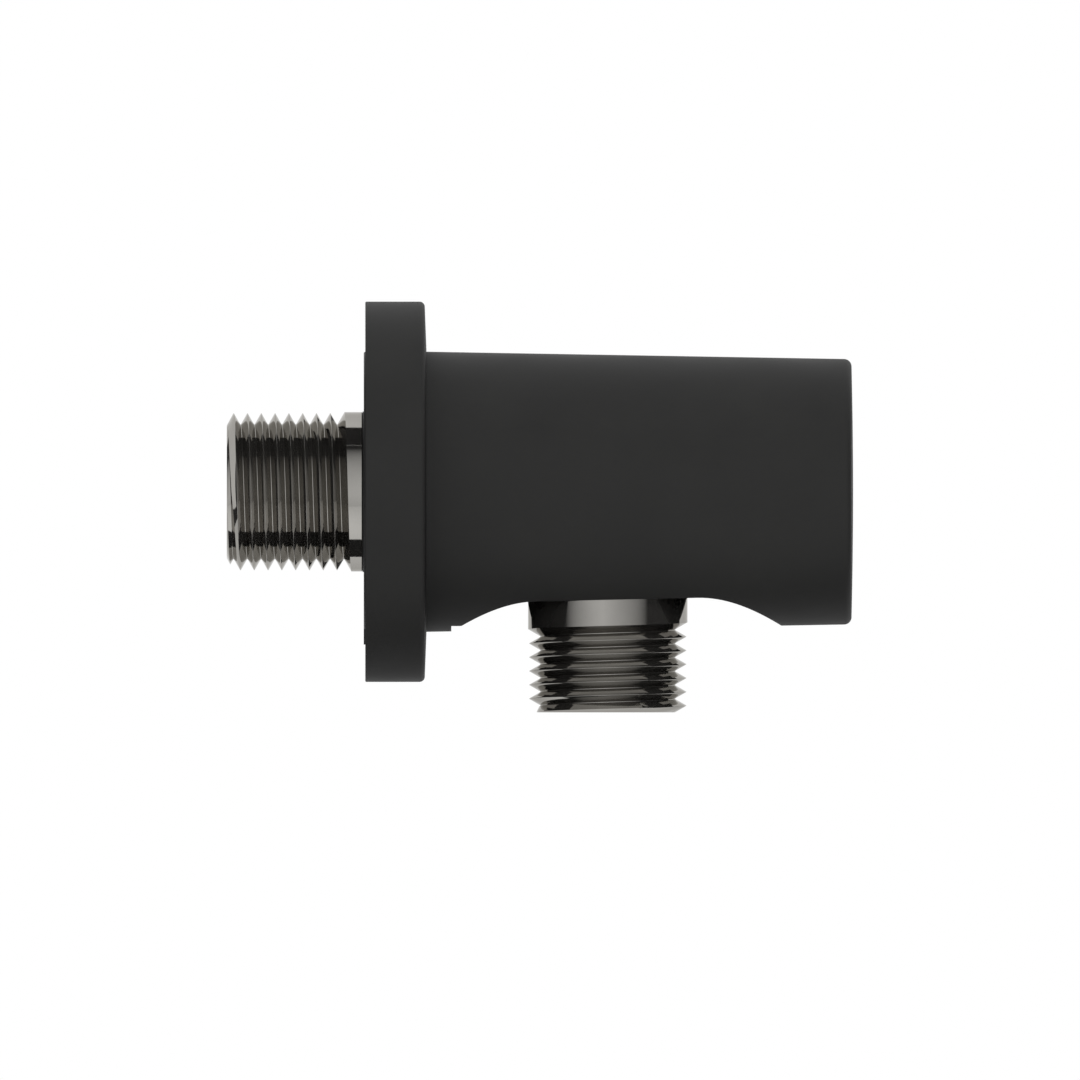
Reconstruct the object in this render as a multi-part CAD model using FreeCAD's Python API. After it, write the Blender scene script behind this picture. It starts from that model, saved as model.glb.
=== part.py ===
import FreeCAD, Part
import math
import os

# Wall outlet elbow for a hand shower hose, in millimetres.
# The origin is on the axis of the inlet, in the plane of the wall.
# +X runs out of the wall into the room and +Z is up, so the hose leaves along -Z.

# Inlet nipple: turned brass with a G1/2 outside thread. It screws into the wall fitting.
inlet_reach = 18.0
thread_crest_radius = 10.34
collar_radius = 10.50
inlet_collar_length = 1.8
inlet_mouth_radius = 8.6
inlet_lead_in = 0.95
shank_radius = 9.0
shank_length = 12.0
nipple_bore_radius = 5.9
key_across_flats = 12.0
key_depth = 10.0

# Flat washer between the inner end of the nipple and the floor of its socket in the core.
washer_thickness = 1.5
washer_hole_radius = 6.5

# Elbow core: a brass elbow inside the cover, in one piece with the threaded outlet.
outlet_axis_x = 32.08
outlet_reach = 29.0
outlet_thread_length = 11.5
outlet_mouth_radius = 9.3
outlet_lead_in = 0.65
outlet_bore_radius = 7.0
outlet_bore_top = 5.0
core_radius = 12.0
core_bore_radius = 6.2
core_across_flats = 21.8
core_flat_length = 6.0

# Rear plate: the moulded closure that holds the core, the cover and the rosette in line.
plate_edge_radius = 18.4
plate_flange = 2.0
plate_web = 3.0
plug_length = 6.5
lip_outer_radius = 10.55
lip_height = 0.16
tab_tip_radius = 20.09
tab_width = 6.0
tab_thickness = 1.6

# Cover: the tapered sleeve over the core, bored straight. Its cone is measured at the wall and at its far end.
cover_wall_plane_radius = 18.56
cover_end_radius = 17.46
cover_side_end = 63.13
cover_end_round = 1.0
cover_end_rise = 0.2
cover_bore_radius = 15.4
cover_end_wall = 2.6
slot_behind_outlet = 20.25
slot_before_outlet = 22.66
slot_side_gap = 0.41
flat_below_axis = 17.66
flat_start = 11.51

# Rosette: the round cast wall flange, hollow behind, with a hub that slides on the cover.
rosette_radius = 25.0
rosette_back = 0.2
rosette_rim_front = 8.03
rosette_crown_angle = 2.2
rosette_edge_round = 0.7
rosette_rim_wall = 1.6
rosette_front_wall = 1.9
hub_wall = 2.6
hub_back = 0.9
rosette_rib_count = 8
rosette_rib_wall = 1.2
rosette_rib_back = 2.4

# Grip ring: the rubber ring in a recess behind the hub of the rosette.
grip_ring_front = 4.1
grip_ring_width = 2.0
grip_ring_depth = 1.1

# Clearances between the pieces.
slide_gap = 0.1
thread_gap = 0.05
press_gap = 0.05
keyway_gap = 0.2
seal_gap = 0.03

# A rounded outer edge is turned as this many narrow bevels.
round_steps = 2

# Worked out from the sizes above.
nipple_shoulder = -lip_height
shank_end = nipple_shoulder + shank_length
socket_radius = shank_radius + thread_gap
socket_floor = shank_end + washer_thickness
cover_taper = (cover_wall_plane_radius - cover_end_radius) / cover_side_end
cover_back = plate_flange
cover_face = cover_side_end + cover_end_round
cover_tip = cover_face + cover_end_rise
slot_radius = collar_radius + slot_side_gap
rosette_bore_radius = cover_wall_plane_radius + slide_gap

ORIGIN = FreeCAD.Vector(0, 0, 0)
ALONG_X = FreeCAD.Vector(1, 0, 0)
ALONG_Z = FreeCAD.Vector(0, 0, 1)


def cover_radius(x):
    """Outer radius of the tapered cover at a distance x from the wall."""
    return cover_wall_plane_radius - cover_taper * x


def turned(points):
    """Solid of revolution about the X axis, from the corners (x, radius) of its half section."""
    corners = [FreeCAD.Vector(x, 0, radius) for x, radius in points]
    return Part.Face(Part.makePolygon(corners + corners[:1])).revolve(ORIGIN, ALONG_X, 360)


def rounded_edge(side_x, side_radius, size):
    """Corners of a rounded front edge, from the end of the side (x, radius) round to the face."""
    corners = []
    for step in range(round_steps + 1):
        angle = math.pi / 2 * step / round_steps
        x = side_x + size * math.sin(angle)
        radius = side_radius - size * (1 - math.cos(angle))
        corners.append((x, radius))
    return corners


def ring(x_start, x_end, inner_radius, outer_radius):
    """Plain ring about the X axis with a rectangular section."""
    return turned([
        (x_start, inner_radius),
        (x_start, outer_radius),
        (x_end, outer_radius),
        (x_end, inner_radius),
    ])


def rod(radius, x_start, x_end):
    """Solid cylinder on the X axis."""
    return Part.makeCylinder(radius, x_end - x_start, FreeCAD.Vector(x_start, 0, 0), ALONG_X)


def block(x_range, y_range, z_range):
    """Box between the given limits."""
    corner = FreeCAD.Vector(x_range[0], y_range[0], z_range[0])
    length = x_range[1] - x_range[0]
    width = y_range[1] - y_range[0]
    height = z_range[1] - z_range[0]
    return Part.makeBox(length, width, height, corner)


def inlet_nipple():
    """Turned nipple: thread, collar, shoulder on the plate's lip and shank in the core, bored through."""
    collar_back = nipple_shoulder - inlet_collar_length
    body = turned([
        (-inlet_reach, 0),
        (-inlet_reach, inlet_mouth_radius),
        (-inlet_reach + inlet_lead_in, thread_crest_radius),
        (collar_back, thread_crest_radius),
        (collar_back, collar_radius),
        (nipple_shoulder, collar_radius),
        (nipple_shoulder, shank_radius),
        (shank_end, shank_radius),
        (shank_end, 0),
    ])
    return body.cut(rod(nipple_bore_radius, -inlet_reach, shank_end)).cut(key_socket())


def key_socket():
    """Hexagon in the mouth of the nipple, by which a key turns it into the wall."""
    corner_radius = key_across_flats / math.sqrt(3)
    corners = []
    for index in range(6):
        angle = math.radians(60 * index)
        y = corner_radius * math.cos(angle)
        z = corner_radius * math.sin(angle)
        corners.append(FreeCAD.Vector(-inlet_reach, y, z))
    return Part.Face(Part.makePolygon(corners + corners[:1])).extrude(ALONG_X * key_depth)


def nipple_washer():
    """Flat washer that seals the end of the nipple against the floor of its socket."""
    return ring(shank_end, socket_floor, washer_hole_radius, shank_radius)


def outlet_leg():
    """Downward leg of the core: collar, thread and lead-in, turned about the outlet axis."""
    thread_top = -outlet_reach + outlet_thread_length
    corners = [
        (0, 0),
        (0, collar_radius),
        (thread_top, collar_radius),
        (thread_top, thread_crest_radius),
        (-outlet_reach + outlet_lead_in, thread_crest_radius),
        (-outlet_reach, outlet_mouth_radius),
        (-outlet_reach, 0),
    ]
    points = [FreeCAD.Vector(outlet_axis_x + radius, 0, z) for z, radius in corners]
    outlet_axis = FreeCAD.Vector(outlet_axis_x, 0, 0)
    return Part.Face(Part.makePolygon(points + points[:1])).revolve(outlet_axis, ALONG_Z, 360)


def core_boss():
    """Level body of the core, from the plate to just beyond the outlet, with two flats at the plate."""
    boss = rod(core_radius, plate_web, outlet_axis_x + core_radius)
    half_flats = core_across_flats / 2
    flat_x = (plate_web, plate_web + core_flat_length)
    height = (-core_radius, core_radius)
    for side in (-1, 1):
        beyond = sorted((side * half_flats, side * 2 * core_radius))
        boss = boss.cut(block(flat_x, beyond, height))
    return boss


def elbow_core():
    """Brass elbow with a socket for the nipple and a waterway that turns down into the outlet."""
    waterway = rod(core_bore_radius, plate_web, outlet_axis_x)
    socket = rod(socket_radius, plate_web, socket_floor)
    bore_start = FreeCAD.Vector(outlet_axis_x, 0, -outlet_reach)
    outlet_bore = Part.makeCylinder(outlet_bore_radius, outlet_reach + outlet_bore_top, bore_start, ALONG_Z)
    outside = core_boss().fuse(outlet_leg())
    return outside.cut(waterway).cut(socket).cut(outlet_bore)


def rear_plate():
    """Moulded closure: flange, lip under the nipple's shoulder, plug in the cover and key tab."""
    plug_radius = cover_bore_radius - press_gap
    plug_end = plate_flange + plug_length
    body = turned([
        (0, 0),
        (0, plate_edge_radius),
        (plate_flange, plate_edge_radius),
        (plate_flange, plug_radius),
        (plug_end, plug_radius),
        (plug_end, 0),
    ])
    lip = rod(lip_outer_radius, nipple_shoulder, plate_web)
    half_tab = tab_width / 2
    tab = block((0, tab_thickness), (-half_tab, half_tab), (-tab_tip_radius, -cover_bore_radius))
    bore = rod(shank_radius + slide_gap, nipple_shoulder, plate_web)
    return body.fuse(lip).fuse(tab).cut(core_seat(plug_end)).cut(bore)


def core_seat(x_end):
    """Room in the plug for the end of the core, with the same two flats, so that the core can't turn."""
    radius = core_radius + slide_gap
    half_flats = core_across_flats / 2 + slide_gap
    between_flats = block((plate_web, x_end), (-half_flats, half_flats), (-radius, radius))
    return rod(radius, plate_web, x_end).common(between_flats)


def cover_sleeve():
    """Tapered cover: a rounded, slightly raised end, a slot round the outlet and a flat along the slot."""
    end_radius = cover_radius(cover_side_end)
    shell = turned([
        (cover_back, cover_bore_radius),
        (cover_back, cover_radius(cover_back)),
        *rounded_edge(cover_side_end, end_radius, cover_end_round),
        (cover_tip, 0),
        (cover_tip - cover_end_wall, 0),
        (cover_tip - cover_end_wall, cover_bore_radius),
    ])
    below = -2 * cover_wall_plane_radius
    slot_back = outlet_axis_x - slot_behind_outlet + slot_radius
    slot_front = outlet_axis_x + slot_before_outlet - slot_radius
    slot = obround(slot_back, slot_front, slot_radius, below).extrude(ALONG_Z * -below)
    half_width = cover_wall_plane_radius
    flat = block((flat_start, cover_tip), (-half_width, half_width), (below, -flat_below_axis))
    return shell.cut(slot).cut(flat)


def obround(x_start, x_end, radius, z):
    """Flat face with straight sides along X and half-round ends about x_start and x_end."""
    start_right = FreeCAD.Vector(x_start, -radius, z)
    start_tip = FreeCAD.Vector(x_start - radius, 0, z)
    start_left = FreeCAD.Vector(x_start, radius, z)
    end_left = FreeCAD.Vector(x_end, radius, z)
    end_tip = FreeCAD.Vector(x_end + radius, 0, z)
    end_right = FreeCAD.Vector(x_end, -radius, z)
    return Part.Face(Part.Wire([
        Part.Arc(start_right, start_tip, start_left).toShape(),
        Part.LineSegment(start_left, end_left).toShape(),
        Part.Arc(end_left, end_tip, end_right).toShape(),
        Part.LineSegment(end_right, start_right).toShape(),
    ]))


def rosette():
    """Hollow cast flange: rim, crowned front, ribs, and a hub with a recess for the ring and a keyway."""
    face_edge_radius = rosette_radius - rosette_edge_round
    crown_rise = (face_edge_radius - rosette_bore_radius) * math.tan(math.radians(rosette_crown_angle))
    inside_front = rosette_rim_front - rosette_front_wall
    hub_radius = rosette_bore_radius + hub_wall
    rim_inner_radius = rosette_radius - rosette_rim_wall
    body = turned([
        (rosette_back, rim_inner_radius),
        (rosette_back, rosette_radius),
        *rounded_edge(rosette_rim_front - rosette_edge_round, rosette_radius, rosette_edge_round),
        (rosette_rim_front + crown_rise, rosette_bore_radius),
        (hub_back, rosette_bore_radius),
        (hub_back, hub_radius),
        (inside_front, hub_radius),
        (inside_front, rim_inner_radius),
    ])
    body = body.multiFuse(rosette_ribs())
    body = body.cut(grip_ring_recess())
    half_keyway = tab_width / 2 + keyway_gap
    keyway_z = (-tab_tip_radius - keyway_gap, -cover_bore_radius)
    return body.cut(block((0, tab_thickness + keyway_gap), (-half_keyway, half_keyway), keyway_z))


def rosette_ribs():
    """Thin webs between the hub and the rim, spread evenly and clear of the keyway."""
    x_range = (rosette_rib_back, rosette_rim_front - rosette_front_wall / 2)
    y_range = (-rosette_rib_wall / 2, rosette_rib_wall / 2)
    z_range = (rosette_bore_radius + hub_wall / 2, rosette_radius - rosette_rim_wall / 2)
    made = []
    for index in range(rosette_rib_count):
        rib = block(x_range, y_range, z_range)
        rib.rotate(ORIGIN, ALONG_X, 180 + (index + 0.5) * 360 / rosette_rib_count)
        made.append(rib)
    return made


def grip_ring_seat():
    """Radius of the cover under the back edge of the grip ring, where the ring fits closest."""
    return cover_radius(grip_ring_front - grip_ring_width)


def grip_ring_recess():
    """Room for the grip ring, open at the back of the hub, as a ring of material to cut away."""
    outer_radius = grip_ring_seat() + grip_ring_depth + 2 * seal_gap
    return ring(hub_back, grip_ring_front + seal_gap, cover_end_radius, outer_radius)


def rosette_grip_ring():
    """Rubber ring between the rosette's hub and the cover, which holds the rosette against the wall."""
    inner_radius = grip_ring_seat() + seal_gap
    return ring(grip_ring_front - grip_ring_width, grip_ring_front, inner_radius, inner_radius + grip_ring_depth)


pieces = {
    "inlet_nipple": inlet_nipple(),
    "nipple_washer": nipple_washer(),
    "elbow_core": elbow_core(),
    "rear_plate": rear_plate(),
    "cover_sleeve": cover_sleeve(),
    "rosette": rosette(),
    "rosette_grip_ring": rosette_grip_ring(),
}

os.makedirs("parts", exist_ok=True)
for name, shape in pieces.items():
    shape.exportStep("parts/" + name + ".step")
    print(name, "valid:", shape.isValid(), "solids:", len(shape.Solids), "volume:", round(shape.Volume, 1))
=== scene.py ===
import logging
import math
from dataclasses import dataclass, field, replace
from enum import Enum

import bmesh
import bpy
import numpy as np
from bpy.types import Material, Mesh, Node, NodeTree, Object
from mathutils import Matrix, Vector

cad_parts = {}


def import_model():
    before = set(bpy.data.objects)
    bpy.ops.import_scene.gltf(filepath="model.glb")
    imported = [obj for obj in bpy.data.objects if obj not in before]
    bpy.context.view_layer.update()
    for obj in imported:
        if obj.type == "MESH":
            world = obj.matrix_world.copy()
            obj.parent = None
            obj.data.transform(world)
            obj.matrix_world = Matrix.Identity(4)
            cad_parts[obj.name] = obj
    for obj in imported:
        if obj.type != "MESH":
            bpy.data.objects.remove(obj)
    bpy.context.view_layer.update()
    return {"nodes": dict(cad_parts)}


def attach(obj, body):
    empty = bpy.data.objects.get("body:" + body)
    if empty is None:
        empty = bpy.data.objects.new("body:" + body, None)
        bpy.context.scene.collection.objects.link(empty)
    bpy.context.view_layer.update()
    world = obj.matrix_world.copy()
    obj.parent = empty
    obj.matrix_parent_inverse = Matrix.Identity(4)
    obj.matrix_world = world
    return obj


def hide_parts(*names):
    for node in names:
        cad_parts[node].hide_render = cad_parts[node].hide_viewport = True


LOG = logging.getLogger("wall_outlet_elbow")

MM = 0.001
FULL_TURN = 2.0 * math.pi
WELD_DISTANCE = 2e-6
SLIVER_LENGTH = 2e-7
THREAD_CREASE = 42.0
BODY = "root"

Grid = np.ndarray
Point = tuple[float, float, float]
Colour = tuple[float, float, float]


class Slot(Enum):
    """Material slots of the record, one listed with each piece; the pieces take their finish from their own
    Finish.
    """

    METAL = "plated_brass"
    RUBBER = "seal_rubber"
    MOULDING = "black_moulding"
    COATING = "black_coating"


class Axis(Enum):
    """Direction of the axis that a turned surface goes round: the level inlet or the upright outlet."""

    INLET = (1.0, 0.0, 0.0)
    OUTLET = (0.0, 0.0, 1.0)


# Surfaces


def arc(centre: tuple[float, float], radius: float, start: float, end: float, steps: int) -> Grid:
    """Points of a circular arc in a half section.

    Each point is the centre plus radius times (cosine, sine) of an angle that goes evenly from start to end.

    Args:
        centre: Centre (along, out) in millimetres.
        radius: Radius in millimetres.
        start: First angle in degrees, 0 along the axis and 90 away from it.
        end: Last angle in degrees.
        steps: Number of equal parts.

    Returns:
        Array of shape (steps + 1, 2).
    """
    angles = np.radians(np.linspace(start, end, steps + 1))
    return np.column_stack([centre[0] + radius * np.cos(angles), centre[1] + radius * np.sin(angles)])


def section(*parts: Grid | tuple[float, float]) -> Grid:
    """Joins single points and arrays of points into one half section of shape (n, 2)."""
    return np.vstack([np.atleast_2d(np.asarray(part, float)) for part in parts])


def distinct(values: Grid) -> Grid:
    """Values in rising order, with those that differ only by rounding taken once."""
    return np.unique(np.round(values, 9))


def turned_about_x(along: Grid, out: Grid, angle: Grid) -> Grid:
    """Points round the inlet axis: x is along, y is out times cosine and z is out times sine of the angle."""
    along, out, angle = np.broadcast_arrays(along, out, angle)
    return np.stack([along, out * np.cos(angle), out * np.sin(angle)], axis=-1)


def turned_from_below(along: Grid, out: Grid, angle: Grid) -> Grid:
    """Points round the inlet axis at angles that are counted from straight down."""
    return turned_about_x(along, out, angle - math.pi / 2)


def turned_about_outlet(along: Grid, out: Grid, angle: Grid, axis_x: float) -> Grid:
    """Points round the outlet axis: z is along, y is out times cosine and x is axis_x less out times sine."""
    along, out, angle = np.broadcast_arrays(along, out, angle)
    return np.stack([axis_x - out * np.sin(angle), out * np.cos(angle), along], axis=-1)


@dataclass
class Skin:
    """Grids of points in millimetres that are welded into one closed mesh."""

    grids: list[Grid] = field(default_factory=list)

    def add(self, points: Grid) -> "Skin":
        """Takes one grid of shape (rows, columns, 3)."""
        self.grids.append(np.asarray(points, float))
        return self

    def add_box(self, low: Point, high: Point, turn: float) -> "Skin":
        """Takes a plain box, turned about the inlet axis, as six one-cell grids.

        Args:
            low: Lowest corner before the turn, in millimetres.
            high: Highest corner before the turn, in millimetres.
            turn: Angle about the inlet axis in radians.

        Returns:
            This skin.
        """
        cosine, sine = math.cos(turn), math.sin(turn)
        rotation = np.array([[1.0, 0.0, 0.0], [0.0, cosine, -sine], [0.0, sine, cosine]])
        corners = np.stack(np.meshgrid(*zip(low, high), indexing="ij"), axis=-1) @ rotation.T
        for axis in range(3):
            for side in (0, 1):
                self.add(np.take(corners, side, axis=axis))
        return self

    def arrays(self) -> tuple[Grid, Grid]:
        """Corners and quads of all the grids, numbered one after another.

        Returns:
            Points of shape (n, 3) in metres and quads of shape (m, 4).
        """
        points, quads, start = [], [], 0
        for grid in self.grids:
            rows, columns = grid.shape[:2]
            index = start + np.arange(rows * columns).reshape(rows, columns)
            corners = (index[:-1, :-1], index[1:, :-1], index[1:, 1:], index[:-1, 1:])
            quads.append(np.stack(corners, axis=-1).reshape(-1, 4))
            points.append(grid.reshape(-1, 3) * MM)
            start += rows * columns
        return np.vstack(points), np.vstack(quads)

    def mesh(self) -> Mesh:
        """Mesh of all the grids, with the points at shared edges still separate."""
        points, quads = self.arrays()
        mesh = bpy.data.meshes.new("grids")
        mesh.vertices.add(len(points))
        mesh.vertices.foreach_set("co", points.astype(np.float32).ravel())
        mesh.loops.add(quads.size)
        mesh.loops.foreach_set("vertex_index", quads.astype(np.int32).ravel())
        mesh.polygons.add(len(quads))
        mesh.polygons.foreach_set("loop_start", np.arange(0, quads.size, 4, dtype=np.int32))
        mesh.update(calc_edges=True)
        return mesh


def welded(mesh: Mesh) -> bmesh.types.BMesh:
    """Editable copy of a mesh, with the points at shared edges merged."""
    shape = bmesh.new()
    shape.from_mesh(mesh)
    bmesh.ops.remove_doubles(shape, verts=shape.verts, dist=WELD_DISTANCE)
    return shape


def finished_object(name: str, mesh: Mesh, crease: float = 32.0) -> Object:
    """Welds a mesh, turns its faces outwards, smooths it up to a crease angle and links its object.

    Args:
        name: Name of the piece.
        mesh: Mesh in metres, in the row frame.
        crease: Angle in degrees above which an edge stays sharp.

    Returns:
        The linked object, at the origin.
    """
    shape = welded(mesh)
    bmesh.ops.dissolve_degenerate(shape, edges=shape.edges, dist=SLIVER_LENGTH)
    bmesh.ops.recalc_face_normals(shape, faces=shape.faces)
    open_edges = sum(1 for edge in shape.edges if not edge.is_manifold)
    shape.to_mesh(mesh)
    shape.free()
    mesh.shade_smooth()
    mesh.set_sharp_from_angle(angle=math.radians(crease))
    mesh.name = name
    made = bpy.data.objects.new(name, mesh)
    bpy.context.scene.collection.objects.link(made)
    LOG.info("%s: %d faces, %d open edges", name, len(mesh.polygons), open_edges)
    return made


# Screw thread


@dataclass(frozen=True)
class PipeThread:
    """Right-hand outside pipe thread that ends in the flank of a collar.

    Every length is in millimetres and is counted along the axis from the free end towards the collar.
    """

    end: float
    last_root: float
    plain_from: float
    mouth_radius: float
    chamfer_slope: float
    plain_share: float
    shoulder_angle: float
    crest_radius: float = 10.34
    root_radius: float = 8.88
    collar_radius: float = 10.49
    pitch: float = 1.814
    flank_angle: float = math.pi / 3
    crest_flat: float = 0.012
    crest_cut: float = 0.05
    columns: int = 252
    collar_rows: int = 3
    fade_from: float = 315.0

    @property
    def angles(self) -> Grid:
        """Angles of the grid's columns, once round, with the seam on the hidden side."""
        return np.linspace(0.0, FULL_TURN, self.columns + 1)

    @property
    def slope(self) -> float:
        """Rise of a flank for each millimetre along the axis."""
        return math.tan(self.flank_angle)

    @property
    def shoulder_slope(self) -> float:
        """Slope of the narrow shoulder between flank and crest."""
        return math.tan(self.shoulder_angle)

    @property
    def flat(self) -> float:
        """Half the width of the flat root, from where the flank rises to its apex above the cut crest."""
        return self.pitch / 2 - (self.crest_radius + self.crest_cut - self.root_radius) / self.slope

    def profile(self, along: Grid) -> Grid:
        """Radius of the thread over the distance along the axis on the seam's line.

        Below the last root it is a flat root, straight flanks and a crest with two narrow shoulders, once a
        pitch. Beyond the last root the flank rises straight to the collar.

        Args:
            along: Distances in millimetres.

        Returns:
            Radii in millimetres.
        """
        half = self.pitch / 2
        past = along - self.last_root
        from_root = np.abs((past + half) % self.pitch - half)
        flank = self.root_radius + np.maximum(from_root - self.flat, 0.0) * self.slope
        crest = self.crest_radius - np.maximum(half - from_root - self.crest_flat, 0.0) * self.shoulder_slope
        last = self.root_radius + np.maximum(past - self.flat, 0.0) * self.slope
        return np.where(past > 0, np.minimum(last, self.collar_radius), np.minimum(flank, crest))

    def row_places(self) -> Grid:
        """Places of the grid's rows on the seam's line, so that every corner of the profile lies on a row.

        A flank has one row between root and shoulder, and the smooth shading of the crest fades out down to
        it. The last flank runs on up to the collar, and a few even rows follow on the collar.

        Returns:
            Places in millimetres, in rising order.
        """
        half = self.pitch / 2
        rise = self.crest_cut - self.crest_flat * self.shoulder_slope
        shoulder = rise / (self.slope - self.shoulder_slope)
        fade_end = self.flat + self.plain_share * (half - shoulder - self.flat)
        flank = np.array([self.flat, fade_end, half - shoulder, half - self.crest_flat])
        one_turn = np.concatenate([flank, self.pitch - flank[::-1]])
        turns = np.arange(math.floor((self.end - self.last_root) / self.pitch) - 1, 0)
        threaded = (self.last_root + turns[:, None] * self.pitch + one_turn[None, :]).ravel()
        corner = self.last_root + self.flat + (self.collar_radius - self.root_radius) / self.slope
        last_flank = np.linspace(self.last_root + self.flat, corner, self.collar_rows + 1)
        plain = np.linspace(corner, self.plain_from, self.collar_rows + 1)[1:]
        return np.concatenate([threaded, last_flank, plain])

    def surface(self) -> tuple[Grid, Grid]:
        """Grid that follows the helix from the free end to the plain collar.

        A row keeps its place in the profile and moves along the axis by one pitch for each turn of the angle.
        Rows are held at both ends. Over the last part of the turn the radius passes over to that of one pitch
        further on, so the groove runs out and the seam's edges meet. It stays below the cone of the chamfer.

        Returns:
            Distances along the axis and radii, both of shape (rows, columns + 1).
        """
        place = self.row_places()
        shift = self.pitch * self.angles / FULL_TURN
        along = np.clip(place[:, None] + shift[None, :], self.end, self.plain_from)
        on_seam = along - shift[None, :]
        done = np.clip((np.degrees(self.angles) - self.fade_from) / (360.0 - self.fade_from), 0.0, 1.0)
        fade = done * done * (3.0 - 2.0 * done)
        out = (1.0 - fade) * self.profile(on_seam) + fade * self.profile(on_seam + self.pitch)
        chamfer = self.mouth_radius + (along - self.end) * self.chamfer_slope
        return along, np.minimum(out, chamfer)


def rings(angles: Grid, rows: list[tuple[float, Grid | float]]) -> tuple[Grid, Grid]:
    """Rows of a turned grid, each at one distance along the axis and with one radius or one for each angle.

    Args:
        angles: Angles of the grid's columns.
        rows: Distance and radius of each row.

    Returns:
        Distances along the axis and radii, both of shape (rows, angles).
    """
    wide = np.ones_like(angles)
    return np.vstack([place * wide for place, _ in rows]), np.vstack([radius * wide for _, radius in rows])


def hexagon_radius(angle: Grid, apothem: float) -> Grid:
    """Distance to a hexagon's side: the apothem over the cosine of the angle from the middle of that side."""
    sixth = math.pi / 3
    return apothem / np.cos((angle + sixth / 2) % sixth - sixth / 2)


# Pieces


@dataclass
class InletNipple:
    """Bright nipple that screws into the wall: thread, collar, shoulder, shank, hexagon and bore."""

    end: float = -18.0
    shoulder: float = -0.16
    shank_radius: float = 9.0
    shank_end: float = 11.84
    bore_radius: float = 5.9
    key_apothem: float = 6.0
    key_depth: float = 10.0
    edge: float = 0.12
    mouth_edge: float = 0.35

    def build(self) -> Object:
        """Rows over one set of angles: the thread, then the collar, the shank and the bore back to the end.

        Returns:
            The finished object.
        """
        thread = PipeThread(
            end=self.end, last_root=-3.95, plain_from=-0.7, mouth_radius=8.75, chamfer_slope=1.85,
            plain_share=0.5, shoulder_angle=0.72,
        )
        angles = thread.angles
        along, out = thread.surface()
        hexagon = hexagon_radius(angles, self.key_apothem)
        collar = thread.collar_radius
        back_along, back_out = rings(angles, [
            (self.shoulder - self.edge, collar),
            (self.shoulder, collar - self.edge),
            (self.shoulder, self.shank_radius),
            (self.shank_end - 2 * self.edge, self.shank_radius),
            (self.shank_end, self.shank_radius - 2 * self.edge),
            (self.shank_end, self.bore_radius + self.edge),
            (self.shank_end - self.edge, self.bore_radius),
            (self.end + self.key_depth, self.bore_radius),
            (self.end + self.key_depth, hexagon),
            (self.end + self.mouth_edge, hexagon),
            (self.end, hexagon + self.mouth_edge),
        ])
        along = np.vstack([along, back_along, along[:1]])
        out = np.vstack([out, back_out, out[:1]])
        skin = Skin().add(turned_about_x(along, out, angles))
        return finished_object("inlet_nipple_threaded", skin.mesh(), THREAD_CREASE)


@dataclass
class ElbowCasting:
    """Bright elbow inside the cover, with the collar and thread of the hose outlet."""

    axis_x: float = 32.08
    end: float = -29.0
    joint_height: float = -14.0
    joint_gap: float = 0.3
    bore_radius: float = 7.0
    wall_middle: float = 1.5
    mouth_edge: float = 0.35

    def leg(self) -> Mesh:
        """Threaded leg below the joint: rows down the bore, round the end face and up to the collar.

        Returns:
            Mesh that is open at its top, where the upper body takes over.
        """
        thread = PipeThread(
            end=self.end, last_root=-19.49, plain_from=-16.4, mouth_radius=9.3, chamfer_slope=1.75,
            plain_share=0.12, shoulder_angle=math.pi / 6,
        )
        angles = thread.angles
        along, out = thread.surface()
        top = self.joint_height - self.joint_gap
        bore_along, bore_out = rings(angles, [
            (top, self.bore_radius),
            (self.end + self.mouth_edge, self.bore_radius),
            (self.end, self.bore_radius + self.mouth_edge),
        ])
        rim_along, rim_out = rings(angles, [(top, thread.collar_radius)])
        along = np.vstack([bore_along, along, rim_along])
        out = np.vstack([bore_out, out, rim_out])
        skin = Skin().add(turned_about_outlet(along, out, angles, self.axis_x))
        return skin.mesh()

    def upper_body(self, node: Object) -> bmesh.types.BMesh:
        """Welded copy of the solid's mesh above the joint, which keeps its sockets and waterways.

        Args:
            node: The solid's object from the frame.

        Returns:
            Open mesh that ends in two circles at the joint.
        """
        body = welded(node.data)
        bmesh.ops.bisect_plane(
            body,
            geom=body.verts[:] + body.edges[:] + body.faces[:],
            plane_co=Vector((0.0, 0.0, self.joint_height * MM)),
            plane_no=Vector((0.0, 0.0, 1.0)),
            clear_inner=True,
        )
        return body

    def build(self, node: Object) -> Object:
        """Joins the leg to the upper body with two bands, one outside and one in the bore.

        The solid's own normals are dropped, so that the edges of the collar and the thread come out sharp.

        Args:
            node: The solid's object from the frame.

        Returns:
            The finished object.
        """
        body = self.upper_body(node)
        body.from_mesh(self.leg())
        bmesh.ops.remove_doubles(body, verts=body.verts, dist=WELD_DISTANCE)
        limit = (self.bore_radius + self.wall_middle) * MM
        rims = [edge for edge in body.edges if edge.is_boundary]
        centre = Vector((self.axis_x * MM, 0.0))
        for inside in (True, False):
            band = [edge for edge in rims if ((edge.verts[0].co.xy - centre).length < limit) == inside]
            bmesh.ops.bridge_loops(body, edges=band)
        joined = bpy.data.meshes.new("elbow_casting")
        body.to_mesh(joined)
        body.free()
        given = joined.attributes.get("custom_normal")
        if given is not None:
            joined.attributes.remove(given)
        return finished_object("elbow_casting", joined, THREAD_CREASE)


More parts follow.
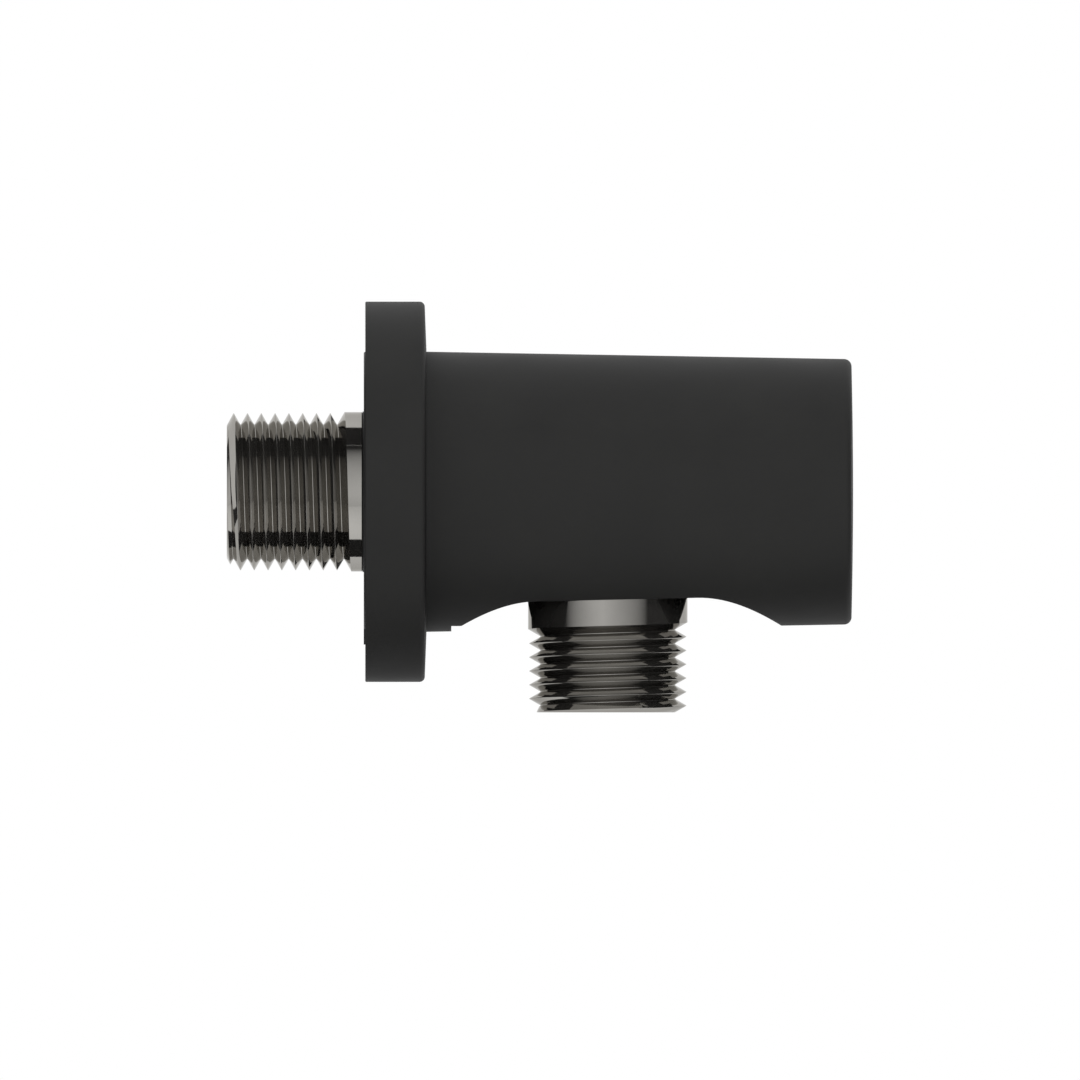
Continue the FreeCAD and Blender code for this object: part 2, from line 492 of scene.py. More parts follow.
@dataclass
class Cover:
    """Tapered cover with a long round-ended slot below, a narrow flat along it and a slightly domed end.

    Angles are counted from straight down. Lengths are in millimetres. The cone is outside, the bore inside.
    """

    wall_radius: float = 18.56
    taper: float = 0.017424
    back: float = 2.0
    side_end: float = 63.13
    end_round: float = 1.0
    end_rise: float = 0.2
    bore_radius: float = 15.4
    bore_end: float = 61.73
    slot_radius: float = 10.91
    slot_back: float = 22.74
    slot_front: float = 43.83
    slot_edge: float = 0.22
    flat_start: float = 11.51
    flat_depth: float = 17.66
    step_reach: float = 1.39
    patch_half_angle: float = 0.9
    corner_angle: float = 62.0
    rear_edge: float = 0.15
    quarter_columns: tuple[int, int, int] = (16, 14, 8)
    side_columns: int = 33
    upper_columns: int = 140
    edge_rows: int = 5
    flat_shares: tuple[float, float, float] = (0.4, 0.7, 1.0)
    cone_rows: int = 14
    bore_rows: int = 8
    round_rows: int = 9
    dome_rows: int = 14

    def radius(self, x: Grid, inside: bool) -> Grid:
        """Radius of the bore, or that of the cone: its radius at the wall less the taper times x."""
        return np.full_like(x, self.bore_radius) if inside else self.wall_radius - self.taper * x

    def ends(self, inside: bool) -> tuple[float, float]:
        """Back and front end of the bore or of the cone."""
        return (self.back, self.bore_end) if inside else (self.back + self.rear_edge, self.side_end)

    def slot_line(self) -> tuple[Grid, Grid, Grid, Grid]:
        """Samples once round the slot, from the middle of its back end.

        Half-round ends are sampled by angle, more closely where the flat's step meets them, and the straight
        sides evenly in between. The flat lies between the slot and its step.

        Returns:
            The x of the nearest centre, the outward directions along x and y, and the length to the step.
        """
        to_step = self.slot_back - self.flat_start
        step_angle = math.acos(to_step / (self.slot_radius + self.step_reach))
        stops = (0.0, step_angle, math.radians(self.corner_angle), math.pi / 2)
        parts = [
            np.linspace(start, stop, columns, endpoint=False)
            for start, stop, columns in zip(stops, stops[1:], self.quarter_columns)
        ]
        quarter = np.concatenate([*parts, stops[-1:]])
        cosine, sine = np.cos(quarter), np.sin(quarter)
        back = np.column_stack([np.full_like(quarter, self.slot_back), -cosine, sine])
        front = np.column_stack([np.full_like(quarter, self.slot_front), cosine, sine])
        side = np.linspace((self.slot_back, 0.0, 1.0), (self.slot_front, 0.0, 1.0), self.side_columns + 1)
        half = np.vstack([back, side[1:-1], front[::-1]])
        centre, toward_x, toward_y = np.vstack([half, half[-2::-1] * (1.0, 1.0, -1.0)]).T
        behind = toward_x < -math.cos(step_angle)
        step = np.full_like(centre, self.step_reach)
        step[behind] = to_step / -toward_x[behind] - self.slot_radius
        return centre, toward_x, toward_y, step

    def rectangle(self, inside: bool) -> tuple[Grid, Grid]:
        """Where each sample's outward ray meets the rectangle round the slot, unrolled to x and angle.

        The ray's length is the smaller of those at which it meets an end and a side of the rectangle. The
        sample nearest to each corner is moved onto it.

        Args:
            inside: Whether the rectangle lies in the bore.

        Returns:
            The x and angle of the samples.
        """
        low, high = self.ends(inside)
        half_angle, scale = self.patch_half_angle, self.wall_radius
        centre, toward_x, toward_y, _ = self.slot_line()
        with np.errstate(divide="ignore"):
            to_end = np.where(toward_x > 0, high - centre, centre - low) / np.abs(toward_x)
            to_side = half_angle * scale / np.abs(toward_y)
        length = np.minimum(to_end, to_side)
        x, angle = centre + toward_x * length, toward_y * length / scale
        for corner in ((low, -half_angle), (low, half_angle), (high, -half_angle), (high, half_angle)):
            nearest = np.argmin(np.hypot(x - corner[0], (angle - corner[1]) * scale))
            x[nearest], angle[nearest] = corner
        return x, angle

    def beside_slot(self, length: Grid | float, rise: float = 0.0) -> Grid:
        """Samples at a length from the slot's wall, on the higher of cone and flat.

        Args:
            length: One length, or one for each sample.
            rise: Height that is added.

        Returns:
            Array of shape (samples, 3).
        """
        centre, toward_x, toward_y, _ = self.slot_line()
        reach = self.slot_radius + length
        x, y = centre + reach * toward_x, reach * toward_y
        cone = -np.sqrt(self.radius(x, False) ** 2 - y ** 2)
        return np.column_stack([x, y, np.maximum(cone, -self.flat_depth) + rise])

    def patch(self, start: Grid, inside: bool, steps: int) -> Grid:
        """Grid between samples round the slot and the rectangle, which goes evenly in x and angle.

        Args:
            start: Samples of shape (samples, 3), of which only x and y count.
            inside: Whether the grid lies in the bore.
            steps: Number of equal parts.

        Returns:
            Grid of shape (steps + 1, samples, 3).
        """
        share = np.linspace(0.0, 1.0, steps + 1)[:, None]
        start_x, start_angle = start[:, 0], np.arcsin(start[:, 1] / self.radius(start[:, 0], inside))
        frame_x, frame_angle = self.rectangle(inside)
        x = start_x + (frame_x - start_x) * share
        return turned_from_below(x, self.radius(x, inside), start_angle + (frame_angle - start_angle) * share)

    def lower_skin(self) -> Grid:
        """Outside below: slot wall, rounded slot edge, flat, step and cone, out to the rectangle.

        At an angle w the rounded edge e lies e(1 - sin w) from the slot's wall and e(1 - cos w) up.

        Returns:
            Grid of shape (rows, samples, 3).
        """
        edge = self.slot_edge
        step = self.slot_line()[-1]
        sill = self.beside_slot(0.0, edge)
        top = sill.copy()
        top[:, 2] = -np.sqrt(self.bore_radius ** 2 - sill[:, 1] ** 2)
        rows = [top, (top + sill) / 2]
        for turn in np.linspace(math.pi / 2, 0.0, self.edge_rows + 1):
            rows.append(self.beside_slot(edge * (1.0 - math.sin(turn)), edge * (1.0 - math.cos(turn))))
        for share in self.flat_shares:
            rows.append(self.beside_slot(edge + (step - edge) * share))
        return np.concatenate([np.stack(rows), self.patch(rows[-1], False, self.cone_rows)])

    def round_angles(self, inside: bool) -> list[Grid]:
        """Angles once round each end that meet the samples of the lower and the upper part.

        Args:
            inside: Whether the ends are those of the bore.

        Returns:
            Angles at the back end and at the front end.
        """
        x, angle = self.rectangle(inside)
        below = [angle[np.isclose(x, end)] for end in self.ends(inside)]
        return [distinct(np.concatenate([angles, self.upper_angles()])) for angles in below]

    def upper_angles(self) -> Grid:
        """Angles of the upper part, from one side of the rectangle over the top to the other."""
        return np.linspace(self.patch_half_angle, FULL_TURN - self.patch_half_angle, self.upper_columns + 1)

    def upper_part(self, inside: bool) -> Grid:
        """Grid of the upper part of the bore or the cone, with the same x as the rectangle's side."""
        x, angle = self.rectangle(inside)
        along = distinct(x[np.isclose(angle, self.patch_half_angle)])[:, None]
        return turned_from_below(along, self.radius(along, inside), self.upper_angles())

    def build(self) -> Object:
        """Welds the outside, the slot, the bore and both ends into one shell.

        The dome's x is the face plus the rise times (1 less the square of radius over face radius).

        Returns:
            The finished object.
        """
        rear, front = self.round_angles(False)
        rear_bore, front_bore = self.round_angles(True)
        low, high = self.ends(False)
        back_radius, low_radius, high_radius = self.radius(np.array([self.back, low, high]), False)
        face_radius = high_radius - self.end_round
        dome_radius = np.linspace(face_radius, 0.0, self.dome_rows + 1)
        dome_x = high + self.end_round + self.end_rise * (1.0 - (dome_radius / face_radius) ** 2)
        front_face = section(
            arc((high, face_radius), self.end_round, 90.0, 0.0, self.round_rows),
            np.column_stack([dome_x, dome_radius]),
        )
        rear_face = section((low, low_radius), (self.back, back_radius - self.rear_edge))
        bore_face = section((self.bore_end, self.bore_radius), (self.bore_end, 0.0))
        skin = Skin([self.lower_skin(), self.patch(self.beside_slot(0.0), True, self.bore_rows)])
        skin.add(self.upper_part(False)).add(self.upper_part(True))
        for half, angles in ((front_face, front), (rear_face, rear), (bore_face, front_bore)):
            skin.add(turned_from_below(half[:, :1], half[:, 1:], angles))
        shape = skin.mesh()
        self.close_rear(shape, rear, rear_bore)
        return finished_object("cover_body", shape)

    def close_rear(self, shape: Mesh, outer_angles: Grid, inner_angles: Grid) -> None:
        """Fills the flat ring at the wall end between two circles that have their own angles.

        Args:
            shape: Mesh with every other surface, which is welded and closed in place.
            outer_angles: Angles of the outer circle.
            inner_angles: Angles of the inner circle.
        """
        work = welded(shape)
        plane = self.back * MM
        rims = [
            edge for edge in work.edges
            if edge.is_boundary and all(abs(corner.co.x - plane) < SLIVER_LENGTH / 2 for corner in edge.verts)
        ]
        expected = outer_angles.size + inner_angles.size - 2
        LOG.info("cover rear ring: %d rim edges, %d expected", len(rims), expected)
        bmesh.ops.bridge_loops(work, edges=rims)
        work.to_mesh(shape)
        work.free()


@dataclass
class WallFlange:
    """Round wall flange: crowned front, rounded rim, hollow back with ribs, hub, ring recess and keyway."""

    radius: float = 25.0
    back: float = 0.2
    rim_front: float = 8.03
    crown_angle: float = 2.2
    edge_round: float = 0.7
    rim_wall: float = 1.6
    front_wall: float = 1.9
    bore_radius: float = 18.66
    hub_wall: float = 2.6
    hub_back: float = 0.9
    recess_front: float = 4.13
    recess_radius: float = 19.683
    rib_count: int = 8
    rib_wall: float = 1.2
    rib_back: float = 2.4
    keyway_half_width: float = 3.2
    keyway_back: float = 1.8
    inside_round: float = 0.8
    mouth_edge: float = 0.12
    back_edge: float = 0.1
    inner_edge: float = 0.2
    columns: int = 240
    keyway_columns: int = 15
    edge_rows: int = 9
    crown_rows: int = 7
    inside_rows: int = 6

    def half_section(self) -> Grid:
        """Closed half section, from the rim's back edge over the front to the bore and the hollow back."""
        face_radius = self.radius - self.edge_round
        slope = math.tan(math.radians(self.crown_angle))
        mouth = self.bore_radius + self.mouth_edge
        crown_x = self.rim_front + (face_radius - mouth) * slope
        inside = self.rim_front - self.front_wall
        hub = self.bore_radius + self.hub_wall
        rim = self.radius - self.rim_wall
        soft, edge, inner = self.inside_round, self.back_edge, self.inner_edge
        return section(
            (self.back, self.radius - edge),
            (self.back + edge, self.radius),
            arc((self.rim_front - self.edge_round, face_radius), self.edge_round, 90.0, self.crown_angle,
                self.edge_rows),
            np.linspace((self.rim_front, face_radius), (crown_x, mouth), self.crown_rows + 1)[1:],
            (crown_x - self.mouth_edge, self.bore_radius),
            (self.recess_front, self.bore_radius),
            (self.recess_front, self.recess_radius),
            (self.hub_back + edge, self.recess_radius),
            (self.hub_back, self.recess_radius + edge),
            (self.hub_back, hub - inner),
            (self.hub_back + inner, hub),
            arc((inside - soft, hub + soft), soft, -90.0, 0.0, self.inside_rows),
            arc((inside - soft, rim - soft), soft, 0.0, 90.0, self.inside_rows),
            (self.back + inner, rim),
            (self.back, rim + inner),
            (self.back, self.radius - edge),
        )

    def build(self) -> Object:
        """Turns the half section and adds the ribs between hub and rim.

        Inside the keyway's width at the bottom, the back of the hub lies at the keyway's depth.

        Returns:
            The finished object.
        """
        half = self.half_section()
        edge = math.asin(self.keyway_half_width / (self.bore_radius + self.hub_wall / 2))
        plain = np.linspace(edge, FULL_TURN - edge, self.columns)
        keyway = np.linspace(-edge, edge, self.keyway_columns)
        angles = np.concatenate([keyway, plain])
        in_keyway = np.concatenate([np.ones(keyway.size, bool), np.zeros(plain.size, bool)])
        hub = self.bore_radius + self.hub_wall
        at_hub_back = (half[:, 0] < self.keyway_back) & (half[:, 1] <= hub)
        along = np.repeat(half[:, :1], angles.size, axis=1)
        along[np.ix_(at_hub_back, in_keyway)] += self.keyway_back - self.hub_back
        along = np.concatenate([along, along[:, :1]], axis=1)
        angles = np.append(angles, FULL_TURN - edge)
        skin = Skin().add(turned_from_below(along, half[:, 1:], angles))
        inside = self.rim_front - self.front_wall
        low = (self.rib_back, -self.rib_wall / 2, hub - self.hub_wall / 2)
        high = (inside + self.front_wall / 2, self.rib_wall / 2, self.radius - self.rim_wall / 2)
        for index in range(self.rib_count):
            skin.add_box(low, high, math.pi + (index + 0.5) * FULL_TURN / self.rib_count)
        return finished_object("wall_flange_shell", skin.mesh())


@dataclass
class Closure:
    """Black moulded plate behind the cover, with the lip round the inlet, the plug and the key tab."""

    edge_radius: float = 18.4
    flange: float = 2.0
    web: float = 3.0
    plug_radius: float = 15.35
    plug_end: float = 8.5
    lip_radius: float = 10.55
    lip_back: float = -0.16
    bore_radius: float = 9.1
    seat_radius: float = 12.1
    tab_tip: float = 20.09
    tab_width: float = 6.0
    tab_thickness: float = 1.6
    tab_bite: float = 0.6
    edge: float = 0.2
    edge_rows: int = 4
    columns: int = 192

    def build(self) -> Object:
        """Turns the plate's half section and adds the tab, which reaches into the flange from below.

        Returns:
            The finished object.
        """
        edge = self.edge
        half = section(
            (0.0, self.lip_radius),
            (0.0, self.edge_radius - edge),
            arc((edge, self.edge_radius - edge), edge, 180.0, 90.0, self.edge_rows),
            (self.flange - edge, self.edge_radius),
            (self.flange, self.edge_radius - edge),
            (self.flange, self.plug_radius),
            (self.plug_end - edge, self.plug_radius),
            (self.plug_end, self.plug_radius - edge),
            (self.plug_end, self.seat_radius),
            (self.web, self.seat_radius),
            (self.web, self.bore_radius),
            (self.lip_back, self.bore_radius),
            (self.lip_back, self.lip_radius),
            (0.0, self.lip_radius),
        )
        angles = np.linspace(0.0, FULL_TURN, self.columns + 1)
        skin = Skin().add(turned_about_x(half[:, :1], half[:, 1:], angles))
        low = (0.0, -self.tab_width / 2, -self.tab_tip)
        high = (self.tab_thickness, self.tab_width / 2, self.tab_bite - self.edge_radius)
        skin.add_box(low, high, 0.0)
        return finished_object("closure_plate", skin.mesh())


# Finishes


def set_inputs(node: Node, values: dict[str | int, object]) -> Node:
    """Sets a node's inputs, by name or number, and returns the node."""
    for key, value in values.items():
        node.inputs[key].default_value = value
    return node


def add_node(
    tree: NodeTree, kind: str, values: dict[str | int, object] | None = None, operation: str | None = None,
) -> Node:
    """Adds one shader node.

    Args:
        tree: Node tree of a material, the world or a group.
        kind: Type of the node, without the word ShaderNode.
        values: Values of its inputs, by name or number.
        operation: Operation of a maths node.

    Returns:
        The node.
    """
    node = tree.nodes.new(f"ShaderNode{kind}")
    if operation is not None:
        node.operation = operation
    return set_inputs(node, values or {})


def link(tree: NodeTree, *wires: tuple[Node, str | int, Node, str | int]) -> None:
    """Links nodes, each wire being a node, its output, another node and its input."""
    for source, output, target, entry in wires:
        tree.links.new(source.outputs[output], target.inputs[entry])


def new_group(
    name: str, vectors: list[str], numbers: dict[str, float], results: list[str],
) -> tuple[NodeTree, Node, Node]:
    """Starts a node group with named sockets.

    Args:
        name: Name of the group.
        vectors: Names of its vector inputs.
        numbers: Names of its number inputs and their defaults.
        results: Names of its number outputs.

    Returns:
        The group, its entry node and its exit node.
    """
    group = bpy.data.node_groups.new(name, "ShaderNodeTree")
    for vector in vectors:
        group.interface.new_socket(name=vector, in_out="INPUT", socket_type="NodeSocketVector")
    for number, value in numbers.items():
        socket = group.interface.new_socket(name=number, in_out="INPUT", socket_type="NodeSocketFloat")
        socket.default_value = value
    for result in results:
        group.interface.new_socket(name=result, in_out="OUTPUT", socket_type="NodeSocketFloat")
    return group, group.nodes.new("NodeGroupInput"), group.nodes.new("NodeGroupOutput")


def grain_group() -> NodeTree:
    """Fine grain of a coating or moulding: an even fine height and a slow cloudy mask, both from noise."""
    group, entry, leave = new_group(
        "fine_grain", ["Vector"], {"Grain per metre": 3000.0, "Clouds per metre": 90.0}, ["Height", "Clouds"],
    )
    fine = add_node(group, "TexNoise", {"Detail": 3.0, "Roughness": 0.55})
    cloud = add_node(group, "TexNoise", {"Detail": 4.0})
    link(
        group,
        (entry, "Vector", fine, "Vector"),
        (entry, "Vector", cloud, "Vector"),
        (entry, "Grain per metre", fine, "Scale"),
        (entry, "Clouds per metre", cloud, "Scale"),
        (fine, "Fac", leave, "Height"),
        (cloud, "Fac", leave, "Clouds"),
    )
    return group


def turning_group() -> NodeTree:
    """Marks of a turning tool: noise pressed flat along the axis, so that it runs round in fine rings.

    The vector's part along the axis is multiplied by rings per metre, and the parts across it by far less.
    """
    group, entry, leave = new_group(
        "turning_marks", ["Vector", "Axis"], {"Rings per metre": 5000.0}, ["Height"],
    )
    across = add_node(group, "VectorMath", {"Scale": 25.0}, "SCALE")
    along = add_node(group, "VectorMath", operation="DOT_PRODUCT")
    stretch = add_node(group, "Math", operation="MULTIPLY")
    spread = add_node(group, "VectorMath", operation="SCALE")
    total = add_node(group, "VectorMath", operation="ADD")
    noise = add_node(group, "TexNoise", {"Scale": 1.0, "Detail": 2.0})
    link(
        group,
        (entry, "Vector", across, 0),
        (entry, "Vector", along, 0),
        (entry, "Axis", along, 1),
        (along, "Value", stretch, 0),
        (entry, "Rings per metre", stretch, 1),
        (entry, "Axis", spread, 0),
        (stretch, "Value", spread, "Scale"),
        (across, "Vector", total, 0),
        (spread, "Vector", total, 1),
        (total, "Vector", noise, "Vector"),
        (noise, "Fac", leave, "Height"),
    )
    return group


def place_group(tree: NodeTree, group: NodeTree, values: dict[str | int, object]) -> Node:
    """Places a node group in a material, on the piece's own coordinates.

    Args:
        tree: Node tree of the material.
        group: The group.
        values: Values of its other inputs by name.

    Returns:
        The group's node.
    """
    placed = add_node(tree, "Group")
    placed.node_tree = group
    link(tree, (add_node(tree, "TexCoord"), "Object", placed, "Vector"))
    return set_inputs(placed, values)


def spread_clouds(tree: NodeTree, placed: Node, low: float, high: float) -> Node:
    """Maps the clouds of a placed grain group, which lie between 0.3 and 0.7, onto a range.

    Args:
        tree: Node tree of the material.
        placed: The placed group.
        low: Result at 0.3.
        high: Result at 0.7.

    Returns:
        Node that puts out the mapped value.
    """
    spread = add_node(tree, "MapRange", {"From Min": 0.3, "From Max": 0.7, "To Min": low, "To Max": high})
    link(tree, (placed, "Clouds", spread, "Value"))
    return spread


@dataclass(frozen=True, kw_only=True)
class Finish:
    """Surface of two close shades and two roughnesses that pass over in slow clouds, with a fine bump.

    The bump of a turned piece is made of rings round its axis, and that of any other piece of grain.
    """

    name: str
    dark: Colour
    light: Colour
    roughness: tuple[float, float]
    bump_height: float
    bump_strength: float
    clouds_per_metre: float = 90.0
    grain_per_metre: float = 3000.0
    rings_per_metre: float = 5200.0
    axis: Axis | None = None
    metallic: float = 0.0
    specular: float = 0.5
    rim_tint: Colour = (1.0, 1.0, 1.0)

    def make(self, grain: NodeTree, marks: NodeTree) -> Material:
        """The whole material.

        Args:
            grain: The fine grain group.
            marks: The turning marks group.

        Returns:
            The material.
        """
        material = bpy.data.materials.new(self.name)
        material.use_nodes = True
        tree = material.node_tree
        shader = set_inputs(tree.nodes["Principled BSDF"], {
            "Metallic": self.metallic,
            "Specular IOR Level": self.specular,
            "Specular Tint": (*self.rim_tint, 1.0),
        })
        placed = place_group(
            tree, grain, {"Grain per metre": self.grain_per_metre, "Clouds per metre": self.clouds_per_metre},
        )
        shade = add_node(tree, "Mix")
        shade.data_type = "RGBA"
        set_inputs(shade, {"A": (*self.dark, 1.0), "B": (*self.light, 1.0)})
        relief = placed
        if self.axis is not None:
            turning = {"Axis": self.axis.value, "Rings per metre": self.rings_per_metre}
            relief = place_group(tree, marks, turning)
        bump = add_node(tree, "Bump", {"Strength": self.bump_strength, "Distance": self.bump_height})
        link(
            tree,
            (spread_clouds(tree, placed, 0.0, 1.0), "Result", shade, "Factor"),
            (spread_clouds(tree, placed, *self.roughness), "Result", shader, "Roughness"),
            (shade, "Result", shader, "Base Color"),
            (relief, "Height", bump, "Height"),
            (bump, "Normal", shader, "Normal"),
        )
        return material


COATING = Finish(
    name="black_coating", dark=(0.0215, 0.0215, 0.0213), light=(0.0250, 0.0250, 0.0245),
    roughness=(0.54, 0.62), grain_per_metre=3200.0, bump_height=0.00003, bump_strength=0.15, specular=0.12,
)
MOULDING = Finish(
    name="black_moulding", dark=(0.010, 0.010, 0.010), light=(0.016, 0.016, 0.016), roughness=(0.5, 0.62),
    grain_per_metre=2200.0, bump_height=0.00005, bump_strength=0.3,
)
RUBBER = Finish(
    name="seal_rubber", dark=(0.012, 0.012, 0.012), light=(0.02, 0.02, 0.019), roughness=(0.72, 0.85),
    grain_per_metre=4200.0, bump_height=0.00004, bump_strength=0.4,
)
INLET_METAL = Finish(
    name="inlet_metal", dark=(0.345, 0.335, 0.315), light=(0.385, 0.374, 0.352), roughness=(0.05, 0.08),
    bump_height=0.000001, bump_strength=0.1, clouds_per_metre=220.0, axis=Axis.INLET, metallic=0.965,
    rim_tint=(0.72, 0.71, 0.69),
)
# Painted shade: the outlet's copy of the same plated metal has darker shades than the inlet's.
SHADED_OUTLET_METAL = replace(
    INLET_METAL, name="outlet_metal_painted_shade", axis=Axis.OUTLET,
    dark=(0.320, 0.311, 0.293), light=(0.355, 0.345, 0.325),
)


# Studio


@dataclass(frozen=True)
class Glow:
    """Light of a card, which falls evenly from a bright middle to its rim.

    Stretch multiplies the distances along the three axes, and reach is where the rim's light begins, in
    metres. A card whose middle and rim are the same glows evenly.
    """

    middle: float
    rim: float
    centre: Point = (0.0, 0.0, 0.0)
    stretch: Point = (1.0, 1.0, 1.0)
    reach: float = 1.0


@dataclass
class Studio:
    """Pale floor, white surround, soft lamps, and cards that only reflections show. Lengths are in metres."""

    floor_height: float = -0.0296
    floor_reach: float = 2.0
    floor_colour: Colour = (0.6, 0.6, 0.59)
    fill: float = 0.36
    far: float = 0.35
    image_width: float = 0.14197
    image_centre: tuple[float, float] = (0.02317, -0.00634)

    def plain(self, name: str, colour: Colour, roughness: float) -> tuple[Material, Node]:
        """A new material of one colour and roughness.

        Args:
            name: Name of the material.
            colour: Its colour.
            roughness: Its roughness.

        Returns:
            The material and its shader.
        """
        material = bpy.data.materials.new(name)
        material.use_nodes = True
        values = {"Base Color": (*colour, 1.0), "Roughness": roughness}
        return material, set_inputs(material.node_tree.nodes["Principled BSDF"], values)

    def plane(self, low: Point, high: Point, material: Material) -> Object:
        """One flat rectangle that isn't part of the object, named after its material.

        Args:
            low: Its lowest corner.
            high: Its highest corner, which has one coordinate in common with the lowest.
            material: Its material.

        Returns:
            The linked object.
        """
        first, second = [axis for axis in range(3) if low[axis] != high[axis]]
        corners = np.array([low] * 4)
        corners[1:3, first] = high[first]
        corners[2:4, second] = high[second]
        mesh = bpy.data.meshes.new(material.name)
        mesh.from_pydata(corners.tolist(), [], [(0, 1, 2, 3)])
        mesh.materials.append(material)
        made = bpy.data.objects.new(material.name, mesh)
        bpy.context.scene.collection.objects.link(made)
        return made

    def card(self, name: str, low: Point, high: Point, glow: Glow) -> None:
        """Card that only reflections show, and that casts no shadow.

        Args:
            name: Name of the card.
            low: Its lowest corner.
            high: Its highest corner.
            glow: Its light.
        """
        material, shader = self.plain(name, (0.0, 0.0, 0.0), 1.0)
        light = (glow.middle, glow.middle, glow.middle, 1.0)
        set_inputs(shader, {"Specular IOR Level": 0.0, "Emission Strength": 1.0, "Emission Color": light})
        if glow.rim != glow.middle:
            tree = material.node_tree
            where = add_node(tree, "TexCoord")
            apart = add_node(tree, "VectorMath", {1: glow.centre}, "SUBTRACT")
            stretch = add_node(tree, "VectorMath", {1: glow.stretch}, "MULTIPLY")
            distance = add_node(tree, "VectorMath", operation="LENGTH")
            fade = add_node(
                tree, "MapRange", {"From Max": glow.reach, "To Min": glow.middle, "To Max": glow.rim},
            )
            link(
                tree,
                (where, "Object", apart, 0),
                (apart, "Vector", stretch, 0),
                (stretch, "Vector", distance, 0),
                (distance, "Value", fade, "Value"),
                (fade, "Result", shader, "Emission Color"),
            )
        card = self.plane(low, high, material)
        card.visible_camera = False
        card.visible_diffuse = False
        card.visible_shadow = False
        card.visible_transmission = False

    def cards(self) -> None:
        """Dark cards above, below and on both sides, bright ones below and in front: the bands in the metal.

        On each side a low wide card gives the bands on the outlet's collar, and a tall one those on its
        thread.
        """
        far = self.far
        dark, shaded, even = Glow(0.02, 0.02), Glow(0.035, 0.035), Glow(1.0, 1.0)
        below = Glow(1.2, 0.9, (0.0, -0.3, -far), reach=0.8)
        front = Glow(1.0, 0.03, (-0.09, -0.9, -0.03), (1.2, 1.0, 1.0), 2.0)
        self.card("card_above", (-0.6, -0.125, far), (0.6, 0.10, far), dark)
        self.card("card_below", (-0.6, -0.112, -far), (0.6, 0.115, -far), dark)
        self.card("card_floor", (-3.0, -3.0, -far - 0.01), (3.0, 3.0, -far - 0.01), below)
        for side, low_x, tall_x in (("left", -0.33, -0.335), ("right", 0.39, 0.395)):
            self.card(f"card_low_{side}", (low_x, -0.115, -0.1), (low_x, 0.27, 0.1), shaded)
            self.card(f"card_tall_{side}", (tall_x, -0.14, -far), (tall_x, 0.096, 0.55), shaded)
        self.card("card_beside_inlet", (-0.075, 0.01, -0.012), (-0.075, 0.11, 0.06), even)
        self.card("card_front", (-3.5, -0.9, -far), (3.5, -0.9, 2.6), front)

    def floor(self) -> None:
        """Pale floor under the outlet. Reflections show the bright card below in its place."""
        material, _ = self.plain("studio_floor", self.floor_colour, 0.9)
        reach, height = self.floor_reach, self.floor_height
        self.plane((-reach, -reach, height), (reach, reach, height), material).visible_glossy = False

    def surround(self) -> None:
        """World that is white to the camera and in reflections, and a plain soft fill for everything else."""
        world = bpy.data.worlds.new("studio_surround")
        bpy.context.scene.world = world
        world.use_nodes = True
        tree = world.node_tree
        background = set_inputs(tree.nodes["Background"], {"Color": (1.0, 1.0, 1.0, 1.0)})
        path = add_node(tree, "LightPath")
        shown = add_node(tree, "Math", operation="MAXIMUM")
        also = add_node(tree, "Math", operation="MAXIMUM")
        strength = add_node(tree, "MapRange", {"To Min": self.fill, "To Max": 1.0})
        link(
            tree,
            (path, "Is Camera Ray", shown, 0),
            (path, "Is Glossy Ray", shown, 1),
            (shown, "Value", also, 0),
            (path, "Is Transmission Ray", also, 1),
            (also, "Value", strength, "Value"),
            (strength, "Result", background, "Strength"),
        )

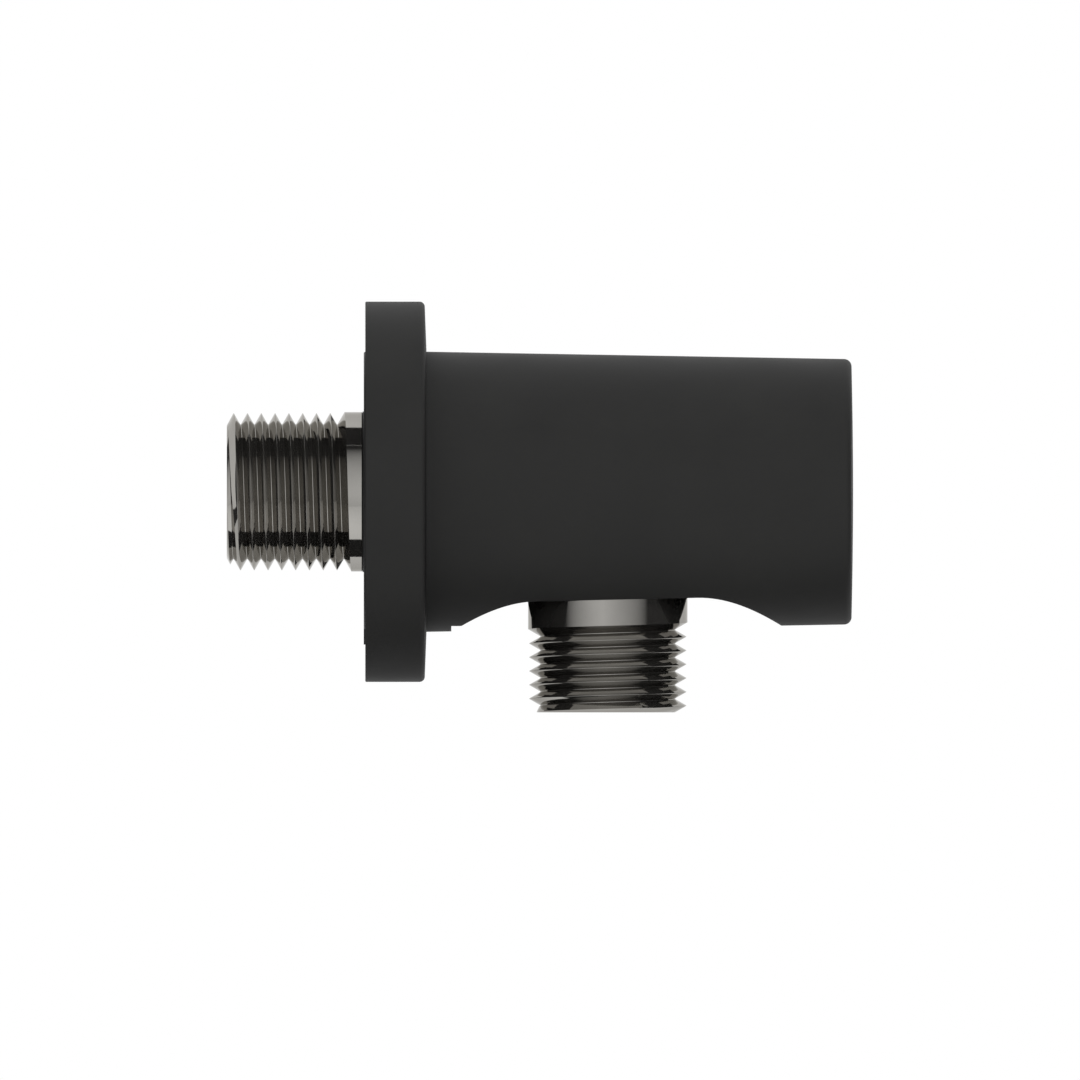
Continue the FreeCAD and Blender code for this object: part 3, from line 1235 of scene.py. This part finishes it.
    def lamp(self, name: str, place: Point, size: float, watts: float) -> None:
        """Square soft lamp that points at the middle of the object and that reflections don't show.

        Args:
            name: Name of the lamp.
            place: Its place.
            size: Its side.
            watts: Its power.
        """
        light = bpy.data.lights.new(name, "AREA")
        light.shape = "SQUARE"
        light.size = size
        light.energy = watts
        made = bpy.data.objects.new(name, light)
        made.location = place
        target = Vector((self.image_centre[0], 0.0, 0.0))
        made.rotation_euler = (target - Vector(place)).to_track_quat("-Z", "Y").to_euler()
        made.visible_glossy = False
        bpy.context.scene.collection.objects.link(made)

    def camera(self) -> None:
        """Level camera that looks along +Y without perspective, as wide as the photograph."""
        lens = bpy.data.cameras.new("camera")
        lens.type = "ORTHO"
        lens.ortho_scale = self.image_width
        lens.clip_end = 10.0
        made = bpy.data.objects.new("camera", lens)
        made.location = (self.image_centre[0], -0.5, self.image_centre[1])
        made.rotation_euler = (math.pi / 2, 0.0, 0.0)
        bpy.context.scene.collection.objects.link(made)
        bpy.context.scene.camera = made

    def build(self) -> None:
        """Sets up the whole studio."""
        bpy.context.scene.view_settings.view_transform = "Standard"
        self.surround()
        self.floor()
        self.cards()
        self.lamp("lamp_above", (0.05, 0.05, 0.7), 0.5, 2.6)
        self.lamp("lamp_front", (0.25, -0.9, 0.25), 0.4, 5.0)
        self.camera()


# The whole object


def main() -> None:
    """Builds and dresses the pieces in order around the solids, and sets up the studio."""
    logging.basicConfig(level=logging.INFO, format="%(name)s: %(message)s")
    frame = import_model()
    nodes = frame["nodes"]
    grain, marks = grain_group(), turning_group()
    finishes = (COATING, MOULDING, RUBBER, INLET_METAL, SHADED_OUTLET_METAL)
    materials = {finish: finish.make(grain, marks) for finish in finishes}
    made = [
        (InletNipple().build(), INLET_METAL, Slot.METAL, "inlet_nipple"),
        (ElbowCasting().build(nodes["elbow_core"]), SHADED_OUTLET_METAL, Slot.METAL, "elbow_core"),
        (Closure().build(), MOULDING, Slot.MOULDING, "rear_plate"),
        (Cover().build(), COATING, Slot.COATING, "cover_sleeve"),
        (WallFlange().build(), COATING, Slot.COATING, "rosette"),
        (nodes["nipple_washer"], RUBBER, Slot.RUBBER, None),
        (nodes["rosette_grip_ring"], RUBBER, Slot.RUBBER, None),
    ]
    for piece, finish, slot, node in made:
        if node is not None:
            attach(piece, BODY)
            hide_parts(node)
        piece.data.materials.clear()
        piece.data.materials.append(materials[finish])
    Studio().build()


if __name__ == "__main__":
    main()
